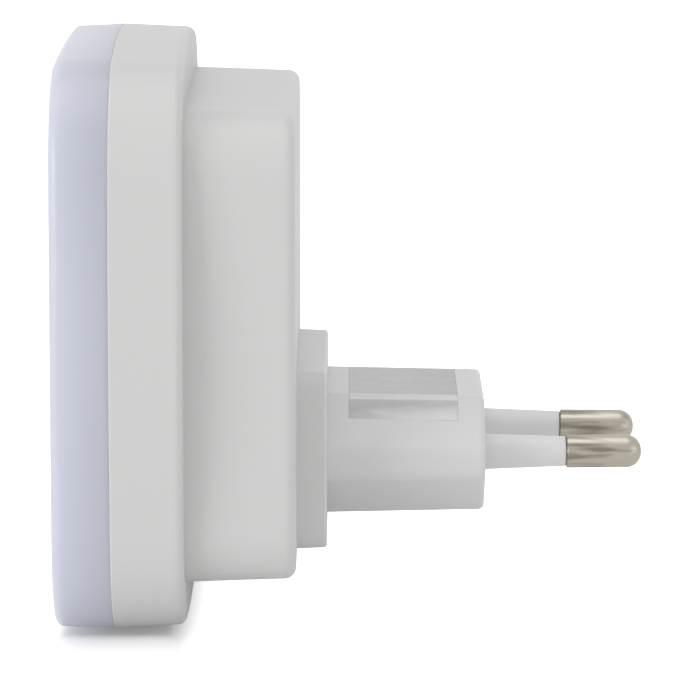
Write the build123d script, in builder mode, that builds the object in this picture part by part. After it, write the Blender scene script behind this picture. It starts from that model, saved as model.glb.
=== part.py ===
from build123d import *
from math import atan, cos, degrees, sin, sqrt
import os

# Square plug-in night light for a two-pin European wall socket, in millimetres.
# The origin is the centre of the plug's engagement face, midway between the pins.
# +Y is the way the pins point, -Y is the way the light shines and +Z is up.

# ---- Driving dimensions -------------------------------------------------------------

# Plug: pins and engagement face as on every flat two-pin plug
pin_length = 19.0
pin_spacing_root = 18.6
pin_spacing_tip = 17.5
pin_radius = 2.0
pin_neck_radius = 1.5
pin_tip_radius = 1.85
pin_shoulder_chamfer = 0.2
bare_pin_length = 9.1
sleeve_root_radius = 2.15
sleeve_end_radius = 1.8
sleeve_bore_clearance = 0.05
collar_radius = 2.8
collar_depth = 1.2
collar_recess = 0.3
collar_clearance = 0.1
pin_tail_length = 9.5
solder_cup_radius = 1.0
solder_cup_depth = 2.5

plug_width = 35.3
plug_height = 13.85
plug_flat_width = 21.0
plug_side_height = 3.0
plug_shoulder_radius = 2.0
plug_cavity_radius = 0.5
plug_length = 18.9
plug_draft = 0.37
plug_edge_radius = 0.7
plug_wall = 1.8
plug_end_wall = 3.0

# Base block behind the plug, which stands out of the casing
base_width = 37.4
base_height = 21.5
base_corner_radius = 2.5
base_depth = 3.6
base_draft = 0.15
base_edge_radius = 0.4
base_rise = 0.25
spigot_wall = 1.2
spigot_reach = 1.5
spigot_clearance = 0.12

# Casing: step block, then the ring that carries the diffuser
step_margin_x = 4.3
step_margin_z = 7.18
step_corner_radius = 7.0
step_depth = 13.0
step_draft = 0.43
step_edge_radius = 1.4
step_rise = 0.2
ring_width = 70.4
ring_side_radius = 180.0
ring_corner_radius = 14.0
ring_depth = 8.6
ring_draft = 0.4
ring_edge_radius = 1.05
pins_above_bottom = 20.25
casing_wall = 2.0
seam_chamfer = 0.14

# Diffuser and the lap joint that it snaps into
diffuser_depth = 6.85
diffuser_band = 0.5
diffuser_front_width = 67.6
diffuser_front_side_radius = 1500.0
diffuser_front_corner_radius = 12.5
diffuser_edge_radius = 1.2
diffuser_wall = 2.2
diffuser_rim_chamfer = 0.07
lip_thickness = 1.0
lap_depth = 3.0
lap_clearance = 0.1
snap_height = 0.3
snap_width = 12.0
snap_depth = 0.8
snap_setback = 1.2
snap_clearance = 0.15

# Screws, posts and bosses
screw_radius = 1.1
screw_head_radius = 2.1
screw_head_depth = 1.5
screw_recess_width = 0.6
screw_hole_clearance = 0.2
boss_wall = 1.5
insert_screw_pitch_x = 26.0
insert_screw_margin_z = 2.25
retainer_width = 27.0
retainer_depth = 2.0
retainer_clearance = 0.2
retainer_play = 0.15
retainer_hole_clearance = 0.3
short_screw_length = 4.6
board_post_inset = 2.9
board_post_radius = 3.0
board_screw_length = 8.0
pilot_hole_allowance = 0.4

# Light board and what it carries. A component's place is its distance from the board's
# middle, seen from behind, and its setback from the top edge.
board_setback = 3.1
board_thickness = 1.6
board_inset = 4.0
sheet_thickness = 0.5
led_setback = 13.0
led_count = 3
led_width = 3.5
led_height = 2.8
led_depth = 0.8
led_window_margin = 0.4
led_pocket_margin = 0.4
led_pocket_depth = 0.2
lead_radius = 0.3
lead_hole_clearance = 0.1
photocell_setback = 6.0
photocell_radius = 2.55
photocell_depth = 2.1
photocell_lead_pitch = 3.4
shroud_wall = 1.1
shroud_floor = 2.0
shroud_gap = 0.35
shroud_bore_clearance = 0.15
shroud_hole_clearance = 0.2

film_capacitor_size = (14.0, 7.0, 12.0)
film_capacitor_place = (-10.0, 16.5)
film_capacitor_lead_pitch = 10.0
can_radius = 4.0
can_height = 12.0
can_place = (7.0, 16.5)
can_lead_pitch = 3.5
can_bead_height = 1.6
can_bead_width = 0.6
can_bead_depth = 0.3
bridge_size = (6.4, 8.4, 3.3)
bridge_place = (18.5, 18.5)
bridge_lead_pitch = 5.1
fusible_radius = 1.7
fusible_length = 9.0
fusible_place = (-13.0, 27.0)
discharge_radius = 1.2
discharge_length = 6.4
discharge_place = (-13.0, 32.0)
resistor_lead_pitch = 14.0
resistor_lead_bend = 0.8
resistor_standoff = 0.6
chip_size = (4.9, 3.9, 1.6)
chip_place = (4.0, 27.5)
chip_lead_count = 4
chip_lead_pitch = 1.27
chip_lead_width = 0.4
chip_lead_reach = 1.0
chip_lead_thickness = 0.2
transistor_radius = 2.3
transistor_height = 4.7
transistor_flat = 1.5
transistor_place = (15.0, 29.0)
transistor_lead_pitch = 1.27
component_edge_radius = 0.4

wire_radius = 0.8
wire_end_spread = 2.0
wire_end_rise = 3.0
wire_straight = 20.0
wire_slope = 6.0
wire_bend_radius = 6.0

# Bare sticker that wraps from the plug's top over its shoulder
label_thickness = 0.1
label_length = 13.1
label_setback = 3.2
label_left = 9.5
label_right = 13.8

# ---- Places worked out from them ----------------------------------------------------

toe_in = atan((pin_spacing_root - pin_spacing_tip) / 2 / pin_length)
bare_pin_start = pin_length - bare_pin_length
collar_rear = plug_end_wall - collar_recess
collar_front = collar_rear + collar_depth
retainer_y = -collar_front - retainer_play
retainer_front_y = retainer_y - retainer_depth
base_rear_y = -plug_length
step_rear_y = base_rear_y - base_depth
ring_rear_y = step_rear_y - step_depth
seam_y = ring_rear_y - ring_depth
step_floor_y = step_rear_y - casing_wall
ring_floor_y = ring_rear_y - casing_wall
spigot_front_y = step_floor_y - spigot_reach
board_rear_y = seam_y + board_setback
board_front_y = board_rear_y - board_thickness
sheet_front_y = board_front_y - sheet_thickness
diffuser_front_y = seam_y - diffuser_depth

base_z = base_rise
ring_z = ring_width / 2 - pins_above_bottom
step_z = ring_z + step_rise

step_width = ring_width - 2 * step_margin_x
step_height = ring_width - 2 * step_margin_z
board_half = ring_width / 2 - board_inset
photocell_drop = board_half - photocell_setback
led_pitch = 2 * (board_half - led_setback) / (led_count - 1)

boss_radius = screw_radius + boss_wall
screw_hole_radius = screw_radius + screw_hole_clearance
lead_hole_radius = lead_radius + lead_hole_clearance
spigot_inset = plug_wall - spigot_wall
snap_inset = lip_thickness + lap_clearance - snap_height
post_x = step_width / 2 - casing_wall - board_post_inset
post_z = step_height / 2 - casing_wall - board_post_inset
shroud_bore_radius = photocell_radius + shroud_bore_clearance
shroud_radius = shroud_bore_radius + shroud_wall
shroud_front_y = diffuser_front_y + diffuser_wall + shroud_gap


def four_places(x, z, centre_z=0.0):
    """The four places at plus and minus x and z about a centre."""
    return [(side * x, centre_z + level * z) for side in (-1, 1) for level in (-1, 1)]


def board_spot(place):
    """Point on the board's back at a component's place."""
    return (place[0], board_half - place[1])


def lead_row(spot, pitch, count=2):
    """Points of a component's leads, in a row through its own spot."""
    return [(spot[0] + pitch * (i - (count - 1) / 2), spot[1]) for i in range(count)]


insert_screw_places = four_places(insert_screw_pitch_x / 2, base_height / 2 - insert_screw_margin_z)
post_places = four_places(post_x, post_z)
board_screw_places = four_places(post_x, post_z, step_z - ring_z)
film_capacitor_spot = board_spot(film_capacitor_place)
can_spot = board_spot(can_place)
bridge_spot = board_spot(bridge_place)
fusible_spot = board_spot(fusible_place)
discharge_spot = board_spot(discharge_place)
chip_spot = board_spot(chip_place)
transistor_spot = board_spot(transistor_place)
film_capacitor_leads = lead_row(film_capacitor_spot, film_capacitor_lead_pitch)
can_leads = lead_row(can_spot, can_lead_pitch)
bridge_leads = [
    (bridge_spot[0] + x, bridge_spot[1] + z)
    for x, z in four_places(bridge_lead_pitch / 2, bridge_lead_pitch / 2)
]
fusible_leads = lead_row(fusible_spot, resistor_lead_pitch)
discharge_leads = lead_row(discharge_spot, resistor_lead_pitch)
transistor_leads = lead_row(transistor_spot, transistor_lead_pitch, 3)
photocell_spot = (0, -photocell_drop)
photocell_leads = lead_row(photocell_spot, photocell_lead_pitch)
board_leads = (
    film_capacitor_leads + can_leads + bridge_leads + fusible_leads
    + discharge_leads + transistor_leads + photocell_leads
)


# ---- Planes, outlines and parts that repeat -----------------------------------------


def facing_front(y, z=0.0):
    """Plane across the object whose normal points the way the light shines."""
    return Plane(origin=(0, y, z), x_dir=(1, 0, 0), z_dir=(0, -1, 0))


def facing_rear(y, z=0.0):
    """Plane across the object whose normal points the way the pins do."""
    return Plane(origin=(0, y, z), x_dir=(-1, 0, 0), z_dir=(0, 1, 0))


def pin_frame(side):
    """Plane through a pin's axis: its x is the radius and its y runs along the pin."""
    root = (side * pin_spacing_root / 2, 0, 0)
    return Plane(origin=root, x_dir=(0, 0, 1), z_dir=(-cos(toe_in), -side * sin(toe_in), 0))


def turned(side, *points):
    """Solid turned about a pin's axis from a profile of (radius, distance) points."""
    plane = pin_frame(side)
    with BuildPart() as solid:
        with BuildSketch(plane):
            with BuildLine():
                Polyline(*points, close=True)
            make_face()
        revolve(axis=Axis(plane.origin, plane.y_dir))
    return solid.part


def turned_rod(side, radius, start, end):
    """Plain rod about a pin's axis, to cut a hole that follows the pin's tilt."""
    return turned(side, (0, start), (radius, start), (radius, end), (0, end))


def bowed_square(half, side_radius, corner_radius):
    """Square outline with bowed sides joined by round corners."""
    side_centre = half - side_radius
    reach = 2 * (side_radius - corner_radius) ** 2 - side_centre**2
    corner_centre = (side_centre + sqrt(reach)) / 2
    side_angle = atan(corner_centre / (corner_centre - side_centre))
    end_x = side_centre + side_radius * cos(side_angle)
    end_y = side_radius * sin(side_angle)
    middle = corner_centre + corner_radius * sqrt(0.5)
    side = (Vector(end_x, -end_y), Vector(half, 0), Vector(end_x, end_y))
    corner = (Vector(end_x, end_y), Vector(middle, middle), Vector(end_y, end_x))
    with BuildSketch() as outline:
        with BuildLine():
            for turn in (0, 90, 180, 270):
                ThreePointArc(*[point.rotate(Axis.Z, turn) for point in side])
                ThreePointArc(*[point.rotate(Axis.Z, turn) for point in corner])
        make_face()
    return outline.sketch


def cushion(inset=0.0):
    """Outline of the casing, moved in by inset."""
    return bowed_square(
        ring_width / 2 - inset, ring_side_radius - inset, ring_corner_radius - inset
    )


def plug_outline(inset=0.0):
    """Outline of the plug body, moved in by inset: flat top and bottom, sloping shoulders."""
    top = plug_height / 2
    flat = plug_flat_width / 2
    wide = plug_width / 2
    edge = plug_side_height / 2
    with BuildSketch() as outline:
        with BuildLine():
            Polyline(
                (flat, top), (wide, edge), (wide, -edge), (flat, -top),
                (-flat, -top), (-wide, -edge), (-wide, edge), (-flat, top), close=True,
            )
        make_face()
        if inset:
            offset(amount=-inset, kind=Kind.INTERSECTION)
        fillet(outline.vertices(), max(plug_shoulder_radius - inset, plug_cavity_radius))
    return outline.sketch


def plug_body(growth=0.0):
    """The plug body from its engagement face to the base block, a little wider there."""
    with BuildPart() as body:
        with BuildSketch(facing_front(0)):
            add(plug_outline(-growth))
        extrude(amount=plug_length, taper=-degrees(atan(plug_draft / plug_length)))
    return body.part


def cap_block(inset=0.0):
    """Block in front of the seam: a straight band, then narrowing to a smaller, straighter front."""
    with BuildPart() as block:
        with BuildSketch(facing_front(seam_y, ring_z)):
            add(cushion(inset))
        extrude(amount=diffuser_band)
        with BuildSketch(facing_front(seam_y - diffuser_band, ring_z)):
            add(cushion(inset))
        with BuildSketch(facing_front(diffuser_front_y + inset, ring_z)):
            add(
                bowed_square(
                    diffuser_front_width / 2 - inset,
                    diffuser_front_side_radius - inset,
                    diffuser_front_corner_radius - inset,
                )
            )
        loft(ruled=True)
    return block.part


def snap_bands(outer_inset, inner_inset, clearance=0.0):
    """A short band along the middle of each side of the lap joint."""
    with BuildPart() as bands:
        with BuildSketch(facing_rear(seam_y + snap_setback - clearance, ring_z)):
            add(cushion(outer_inset))
            add(cushion(inner_inset), mode=Mode.SUBTRACT)
            with BuildSketch(mode=Mode.INTERSECT):
                Rectangle(snap_width + 2 * clearance, ring_width)
                Rectangle(ring_width, snap_width + 2 * clearance)
        extrude(amount=snap_depth + 2 * clearance)
    return bands.part


def screw(length):
    """Pan-head screw whose head sits on the plane z = 0, with a cross recess."""
    with BuildPart() as fastener:
        Cylinder(screw_head_radius, screw_head_depth, align=(Align.CENTER, Align.CENTER, Align.MIN))
        fillet(faces().sort_by(Axis.Z)[-1].edges(), screw_head_depth / 2)
        with BuildSketch(Plane.XY.offset(screw_head_depth)):
            Rectangle(screw_head_radius, screw_recess_width)
            Rectangle(screw_recess_width, screw_head_radius)
        extrude(amount=-screw_head_depth / 2, mode=Mode.SUBTRACT)
        Cylinder(screw_radius, length, align=(Align.CENTER, Align.CENTER, Align.MAX))
    return fastener.part


def leads(spots):
    """Straight leads through the board, from its back to flush with its front."""
    with BuildPart() as wires:
        with BuildSketch(facing_rear(board_front_y, ring_z)):
            with Locations(*spots):
                Circle(lead_radius)
        extrude(amount=board_thickness)
    return wires.part


def moulded_block(spot, size, lead_spots):
    """Component in a rectangular case that stands on the back of the board."""
    width, height, depth = size
    with BuildPart() as block:
        with BuildSketch(facing_rear(board_rear_y, ring_z)):
            with Locations(spot):
                Rectangle(width, height)
        extrude(amount=depth)
        fillet(edges().filter_by(Axis.Y) + faces().sort_by(Axis.Y)[-1].edges(), component_edge_radius)
        add(leads(lead_spots))
    return block.part


def axial_resistor(spot, radius, length):
    """Resistor that lies just above the board between two bent leads."""
    axis_y = board_rear_y + resistor_standoff + radius
    reach = resistor_lead_pitch / 2
    centre = facing_rear(0, ring_z).from_local_coords(Vector(*spot))
    lead_plane = Plane(origin=centre, x_dir=(1, 0, 0), z_dir=(0, 0, 1))
    body_plane = Plane(origin=(centre.X - length / 2, axis_y, centre.Z), z_dir=(1, 0, 0))
    with BuildPart() as resistor:
        with BuildSketch(body_plane):
            Circle(radius)
        extrude(amount=length)
        fillet(edges().filter_by(GeomType.CIRCLE), component_edge_radius)
        with BuildLine(lead_plane) as route:
            FilletPolyline(
                (-reach, board_front_y), (-reach, axis_y), (reach, axis_y), (reach, board_front_y),
                radius=resistor_lead_bend,
            )
        with BuildSketch(Plane(origin=route.line @ 0, z_dir=route.line % 0)):
            Circle(lead_radius)
        sweep()
    return resistor.part


# ---- Plug: pins, sleeves, leads and what holds them ---------------------------------


def contact_pin(side):
    """Turned pin: bare end, neck under the sleeve, collar, tail and solder cup."""
    plane = pin_frame(side)
    tip_flat = pin_radius - pin_tip_radius
    with BuildPart() as pin:
        with BuildSketch(plane):
            with BuildLine():
                outline = Polyline(
                    (0, solder_cup_depth - pin_tail_length),
                    (solder_cup_radius, solder_cup_depth - pin_tail_length),
                    (solder_cup_radius, -pin_tail_length),
                    (pin_neck_radius, -pin_tail_length),
                    (pin_neck_radius, -collar_front),
                    (collar_radius, -collar_front),
                    (collar_radius, -collar_rear),
                    (pin_neck_radius, -collar_rear),
                    (pin_neck_radius, bare_pin_start),
                    (pin_radius - pin_shoulder_chamfer, bare_pin_start),
                    (pin_radius, bare_pin_start + pin_shoulder_chamfer),
                    (pin_radius, pin_length - pin_tip_radius),
                )
                TangentArc(outline @ 1, (tip_flat, pin_length), tangent=outline % 1)
                Polyline((tip_flat, pin_length), (0, pin_length), outline @ 0)
            make_face()
        revolve(axis=Axis(plane.origin, plane.y_dir))
    return pin.part


def pin_sleeve(side):
    """Insulating sleeve from the collar to the bare end, tapering outside the plug."""
    return turned(
        side,
        (pin_neck_radius, -collar_rear),
        (sleeve_root_radius, -collar_rear),
        (sleeve_root_radius, 0),
        (sleeve_end_radius, bare_pin_start),
        (pin_neck_radius, bare_pin_start),
    )


def supply_wire(side):
    """Lead from a pin's solder cup, through the plug insert, to the back of the board."""
    plane = pin_frame(side)
    cup = solder_cup_depth - pin_tail_length
    start = plane.from_local_coords(Vector(0, cup))
    first = plane.from_local_coords(Vector(0, cup - wire_straight))
    end_x = side * (pin_spacing_root / 2 + wire_end_spread)
    with BuildPart() as wire:
        with BuildLine() as route:
            FilletPolyline(
                start,
                first,
                (end_x, first.Y - wire_slope, wire_end_rise),
                (end_x, board_rear_y, wire_end_rise),
                radius=wire_bend_radius,
            )
        with BuildSketch(Plane(origin=route.line @ 0, z_dir=route.line % 0)):
            Circle(wire_radius)
        sweep()
    return wire.part


with BuildPart() as plug_insert:
    with BuildSketch(facing_front(base_rear_y, base_z)):
        RectangleRounded(
            base_width - 2 * base_draft, base_height - 2 * base_draft, base_corner_radius - base_draft
        )
    extrude(amount=base_depth, taper=-degrees(atan(base_draft / base_depth)))
    fillet(faces().sort_by(Axis.Y)[-1].edges(), base_edge_radius)
    add(plug_body())
    fillet(faces().sort_by(Axis.Y)[-1].edges(), plug_edge_radius)
    # spigot that goes through the casing, and the tunnel for the leads
    with BuildSketch(facing_front(step_rear_y)):
        add(plug_outline(spigot_inset))
    extrude(amount=step_rear_y - spigot_front_y)
    with BuildSketch(facing_front(-plug_end_wall)):
        add(plug_outline(plug_wall))
    extrude(amount=-plug_end_wall - spigot_front_y, mode=Mode.SUBTRACT)
    # boss for the retainer's screw
    with BuildSketch(facing_front(-plug_end_wall)):
        Circle(boss_radius)
    extrude(amount=-plug_end_wall - retainer_y)
    with BuildSketch(facing_rear(retainer_y)):
        Circle(screw_radius)
    extrude(amount=short_screw_length - retainer_depth + pilot_hole_allowance, mode=Mode.SUBTRACT)
    # holes for the sleeves, with a seat for each collar
    for side in (1, -1):
        add(
            turned_rod(side, sleeve_root_radius + sleeve_bore_clearance, -collar_front, plug_end_wall),
            mode=Mode.SUBTRACT,
        )
        add(
            turned_rod(side, collar_radius + collar_clearance, -collar_front, -collar_rear),
            mode=Mode.SUBTRACT,
        )
    # pilot holes for the screws that come through the casing
    with BuildSketch(facing_rear(step_rear_y, base_z)):
        with Locations(*insert_screw_places):
            Circle(screw_radius)
    extrude(amount=short_screw_length - casing_wall + pilot_hole_allowance, mode=Mode.SUBTRACT)

with BuildPart() as pin_retainer:
    with BuildSketch(facing_front(retainer_y)):
        add(plug_outline(plug_wall + retainer_clearance))
        Rectangle(retainer_width, plug_height, mode=Mode.INTERSECT)
        Circle(screw_hole_radius, mode=Mode.SUBTRACT)
    extrude(amount=retainer_depth)
    for side in (1, -1):
        add(
            turned_rod(
                side, pin_neck_radius + retainer_hole_clearance, -pin_tail_length, -collar_rear
            ),
            mode=Mode.SUBTRACT,
        )

with BuildPart(facing_front(retainer_front_y)) as retainer_screw:
    add(screw(short_screw_length))

with BuildPart(facing_front(step_floor_y, base_z)) as insert_screws:
    with Locations(*insert_screw_places):
        add(screw(short_screw_length))

# Bare sticker: a skin on the plug body, kept only over the top and one shoulder
with BuildPart() as rating_label:
    add(plug_body(label_thickness))
    add(plug_body(), mode=Mode.SUBTRACT)
    with BuildSketch(facing_front(-label_setback)):
        with Locations(((label_right - label_left) / 2, plug_height / 2)):
            Rectangle(label_right + label_left, plug_height)
    extrude(amount=label_length, mode=Mode.INTERSECT)


# ---- Casing and diffuser ------------------------------------------------------------

with BuildPart() as rear_housing:
    with BuildSketch(facing_rear(seam_y, ring_z)):
        add(cushion())
    extrude(amount=ring_depth, taper=degrees(atan(ring_draft / ring_depth)))
    fillet(faces().sort_by(Axis.Y)[-1].edges(), ring_edge_radius)
    chamfer(faces().sort_by(Axis.Y)[0].edges(), seam_chamfer)
    with BuildSketch(facing_rear(ring_rear_y, step_z)):
        RectangleRounded(step_width, step_height, step_corner_radius)
    extrude(amount=step_depth, taper=degrees(atan(step_draft / step_depth)))
    fillet(faces().sort_by(Axis.Y)[-1].edges(), step_edge_radius)
    # hollow of the ring, its lap for the diffuser's skirt, and hollow of the step block
    with BuildSketch(facing_front(ring_floor_y, ring_z)):
        add(cushion(casing_wall))
    extrude(amount=ring_floor_y - seam_y, mode=Mode.SUBTRACT)
    with BuildSketch(facing_rear(seam_y, ring_z)):
        add(cushion(lip_thickness))
    extrude(amount=lap_depth + lap_clearance, mode=Mode.SUBTRACT)
    add(
        snap_bands(snap_inset - snap_clearance, casing_wall, snap_clearance),
        mode=Mode.SUBTRACT,
    )
    with BuildSketch(facing_front(step_floor_y, step_z)):
        RectangleRounded(
            step_width - 2 * casing_wall, step_height - 2 * casing_wall, step_corner_radius - casing_wall
        )
    extrude(amount=step_floor_y - ring_floor_y, mode=Mode.SUBTRACT)
    # opening for the plug insert's spigot, and holes for its screws
    with BuildSketch(facing_rear(step_floor_y)):
        add(plug_outline(spigot_inset - spigot_clearance))
        with Locations(*[(x, base_z + z) for x, z in insert_screw_places]):
            Circle(screw_hole_radius)
    extrude(amount=casing_wall, mode=Mode.SUBTRACT)
    # posts that carry the light board
    with BuildSketch(facing_front(step_floor_y, step_z)):
        with Locations(*post_places):
            Circle(board_post_radius)
    extrude(amount=step_floor_y - board_rear_y)
    with BuildSketch(facing_rear(board_rear_y, step_z)):
        with Locations(*post_places):
            Circle(screw_radius)
    extrude(
        amount=board_screw_length - board_thickness - sheet_thickness + pilot_hole_allowance,
        mode=Mode.SUBTRACT,
    )

with BuildPart() as diffuser:
    add(cap_block())
    fillet(faces().sort_by(Axis.Y)[0].edges(), diffuser_edge_radius)
    chamfer(faces().sort_by(Axis.Y)[-1].edges(), diffuser_rim_chamfer)
    add(cap_block(diffuser_wall), mode=Mode.SUBTRACT)
    # skirt that snaps into the ring's lap
    with BuildSketch(facing_rear(seam_y, ring_z)):
        add(cushion(lip_thickness + lap_clearance))
        add(cushion(diffuser_wall), mode=Mode.SUBTRACT)
    extrude(amount=lap_depth)
    add(snap_bands(snap_inset, diffuser_wall))


# ---- Light board and its components -------------------------------------------------

with BuildPart() as light_board:
    with BuildSketch(facing_rear(board_front_y, ring_z)):
        add(cushion(board_inset))
        with Locations(*board_screw_places):
            Circle(screw_hole_radius, mode=Mode.SUBTRACT)
        with Locations(*board_leads):
            Circle(lead_hole_radius, mode=Mode.SUBTRACT)
    extrude(amount=board_thickness)

with BuildPart() as leds:
    with BuildSketch(facing_front(board_front_y, ring_z)):
        with GridLocations(led_pitch, led_pitch, led_count, led_count):
            Rectangle(led_width, led_height)
    extrude(amount=led_depth)
    with BuildSketch(facing_rear(board_front_y - led_depth, ring_z)):
        with GridLocations(led_pitch, led_pitch, led_count, led_count):
            Rectangle(led_width - 2 * led_pocket_margin, led_height - 2 * led_pocket_margin)
    extrude(amount=led_pocket_depth, mode=Mode.SUBTRACT)

with BuildPart() as reflector_sheet:
    with BuildSketch(facing_rear(sheet_front_y, ring_z)):
        add(cushion(board_inset))
        with Locations(*board_screw_places):
            Circle(screw_hole_radius, mode=Mode.SUBTRACT)
        with GridLocations(led_pitch, led_pitch, led_count, led_count):
            Rectangle(
                led_width + 2 * led_window_margin, led_height + 2 * led_window_margin, mode=Mode.SUBTRACT
            )
        with Locations(photocell_spot):
            Circle(shroud_radius + shroud_hole_clearance, mode=Mode.SUBTRACT)
    extrude(amount=sheet_thickness)

with BuildPart(facing_front(sheet_front_y, ring_z)) as board_screws:
    with Locations(*board_screw_places):
        add(screw(board_screw_length))

with BuildPart() as photocell_shroud:
    with BuildSketch(facing_rear(shroud_front_y, ring_z)):
        with Locations(photocell_spot):
            Circle(shroud_radius)
    extrude(amount=board_front_y - shroud_front_y)
    with BuildSketch(facing_rear(shroud_front_y, ring_z)):
        with Locations(photocell_spot):
            Circle(shroud_bore_radius)
    extrude(amount=board_front_y - shroud_floor - shroud_front_y, mode=Mode.SUBTRACT)
    with BuildSketch(facing_front(board_front_y, ring_z)):
        with Locations(*photocell_leads):
            Circle(lead_hole_radius)
    extrude(amount=shroud_floor, mode=Mode.SUBTRACT)

with BuildPart() as photocell:
    with BuildSketch(facing_front(board_front_y - shroud_floor, ring_z)):
        with Locations(photocell_spot):
            Circle(photocell_radius)
    extrude(amount=photocell_depth)
    with BuildSketch(facing_front(board_rear_y, ring_z)):
        with Locations(*photocell_leads):
            Circle(lead_radius)
    extrude(amount=board_thickness + shroud_floor)

with BuildPart() as film_capacitor:
    add(moulded_block(film_capacitor_spot, film_capacitor_size, film_capacitor_leads))

with BuildPart() as bridge_rectifier:
    add(moulded_block(bridge_spot, bridge_size, bridge_leads))

with BuildPart() as smoothing_capacitor:
    with BuildSketch(facing_rear(board_rear_y, ring_z)):
        with Locations(can_spot):
            Circle(can_radius)
    extrude(amount=can_height)
    fillet(edges().filter_by(GeomType.CIRCLE), component_edge_radius)
    with BuildSketch(facing_rear(board_rear_y + can_bead_height, ring_z)):
        with Locations(can_spot):
            Circle(can_radius)
            Circle(can_radius - can_bead_depth, mode=Mode.SUBTRACT)
    extrude(amount=can_bead_width, mode=Mode.SUBTRACT)
    add(leads(can_leads))

with BuildPart() as fusible_resistor:
    add(axial_resistor(fusible_spot, fusible_radius, fusible_length))

with BuildPart() as discharge_resistor:
    add(axial_resistor(discharge_spot, discharge_radius, discharge_length))

with BuildPart() as driver_chip:
    with BuildSketch(facing_rear(board_rear_y, ring_z)):
        with Locations(chip_spot):
            Rectangle(chip_size[0], chip_size[1])
    extrude(amount=chip_size[2])
    with BuildSketch(facing_rear(board_rear_y, ring_z)):
        with Locations(chip_spot):
            with GridLocations(chip_lead_pitch, 0, chip_lead_count, 1):
                Rectangle(chip_lead_width, chip_size[1] + 2 * chip_lead_reach)
    extrude(amount=chip_lead_thickness)

with BuildPart() as switch_transistor:
    with BuildSketch(facing_rear(board_rear_y, ring_z)):
        with Locations(transistor_spot):
            Circle(transistor_radius)
            with Locations((0, transistor_flat)):
                Rectangle(
                    2 * transistor_radius,
                    transistor_radius,
                    align=(Align.CENTER, Align.MIN),
                    mode=Mode.SUBTRACT,
                )
    extrude(amount=transistor_height)
    add(leads(transistor_leads))


# ---- Write one STEP file for each piece ---------------------------------------------

pieces = {
    "rear_housing": rear_housing.part,
    "diffuser": diffuser.part,
    "plug_insert": plug_insert.part,
    "live_pin": contact_pin(1),
    "neutral_pin": contact_pin(-1),
    "live_sleeve": pin_sleeve(1),
    "neutral_sleeve": pin_sleeve(-1),
    "live_wire": supply_wire(1),
    "neutral_wire": supply_wire(-1),
    "pin_retainer": pin_retainer.part,
    "retainer_screw": retainer_screw.part,
    "insert_screws": insert_screws.part,
    "rating_label": rating_label.part,
    "light_board": light_board.part,
    "leds": leds.part,
    "reflector_sheet": reflector_sheet.part,
    "board_screws": board_screws.part,
    "photocell_shroud": photocell_shroud.part,
    "photocell": photocell.part,
    "film_capacitor": film_capacitor.part,
    "smoothing_capacitor": smoothing_capacitor.part,
    "bridge_rectifier": bridge_rectifier.part,
    "fusible_resistor": fusible_resistor.part,
    "discharge_resistor": discharge_resistor.part,
    "driver_chip": driver_chip.part,
    "switch_transistor": switch_transistor.part,
}

os.makedirs("parts", exist_ok=True)
for name, piece in pieces.items():
    piece.label = name
    export_step(piece, f"parts/{name}.step")
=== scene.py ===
import math

import bpy
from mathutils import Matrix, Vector


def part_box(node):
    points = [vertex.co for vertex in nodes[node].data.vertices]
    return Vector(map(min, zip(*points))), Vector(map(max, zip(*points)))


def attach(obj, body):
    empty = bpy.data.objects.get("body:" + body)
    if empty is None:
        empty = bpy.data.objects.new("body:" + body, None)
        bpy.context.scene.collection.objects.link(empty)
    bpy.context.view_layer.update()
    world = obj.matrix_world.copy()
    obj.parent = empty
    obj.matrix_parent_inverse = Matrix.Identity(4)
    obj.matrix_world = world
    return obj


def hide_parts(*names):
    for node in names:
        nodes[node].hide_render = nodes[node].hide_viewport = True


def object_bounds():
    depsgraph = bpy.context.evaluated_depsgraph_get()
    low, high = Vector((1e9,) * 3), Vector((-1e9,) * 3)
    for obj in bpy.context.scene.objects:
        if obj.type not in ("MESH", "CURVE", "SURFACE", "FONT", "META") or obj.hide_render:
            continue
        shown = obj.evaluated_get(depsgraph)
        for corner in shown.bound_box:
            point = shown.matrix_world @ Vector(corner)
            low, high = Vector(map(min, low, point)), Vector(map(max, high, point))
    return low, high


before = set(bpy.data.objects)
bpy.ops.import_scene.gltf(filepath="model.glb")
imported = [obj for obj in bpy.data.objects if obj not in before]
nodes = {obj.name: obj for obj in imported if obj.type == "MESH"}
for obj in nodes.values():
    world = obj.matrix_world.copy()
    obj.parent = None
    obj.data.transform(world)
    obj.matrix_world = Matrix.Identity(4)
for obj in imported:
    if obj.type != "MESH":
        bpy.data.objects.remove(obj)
bpy.context.view_layer.update()
cad_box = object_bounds()


# ---- Casing ---------------------------------------------------------------------------
# White injection-moulded shell: a cushion-shaped ring with a smaller stepped block behind
# it. The tool was spark eroded, so the skin is satin, with a very fine even grain. A thin
# band at the seam's rim is painted lighter: a painted highlight where the chamfer catches
# the light.

casing_white = (0.617, 0.617, 0.612, 1.0)
casing_mottle = 0.012
casing_roughness = 0.44
casing_roughness_spread = 0.05
casing_grain_size = 0.00016
casing_grain_depth = 0.000004
# within this depth of the seam the ring is painted lighter, a painted highlight on its chamfer
casing_rim = 0.00016
casing_rim_end = 0.000224
casing_rim_highlight = (0.70, 0.70, 0.695, 1.0)
skin_cloud_scale = 55.0
skin_smear_scale = 240.0


def add_node(tree, kind, inputs=None, **settings):
    """A node with its settings, whose inputs are values or other nodes' sockets."""
    made = tree.nodes.new(kind)
    for name, value in settings.items():
        setattr(made, name, value)
    for key, value in (inputs or {}).items():
        for given in value if isinstance(value, list) else [value]:
            if isinstance(given, bpy.types.NodeSocket):
                tree.links.new(given, made.inputs[key])
            else:
                made.inputs[key].default_value = given
    return made


def calc(tree, operation, *terms):
    """The result of a math node on values or sockets."""
    return add_node(tree, "ShaderNodeMath", dict(enumerate(terms)), operation=operation).outputs[0]


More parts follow.
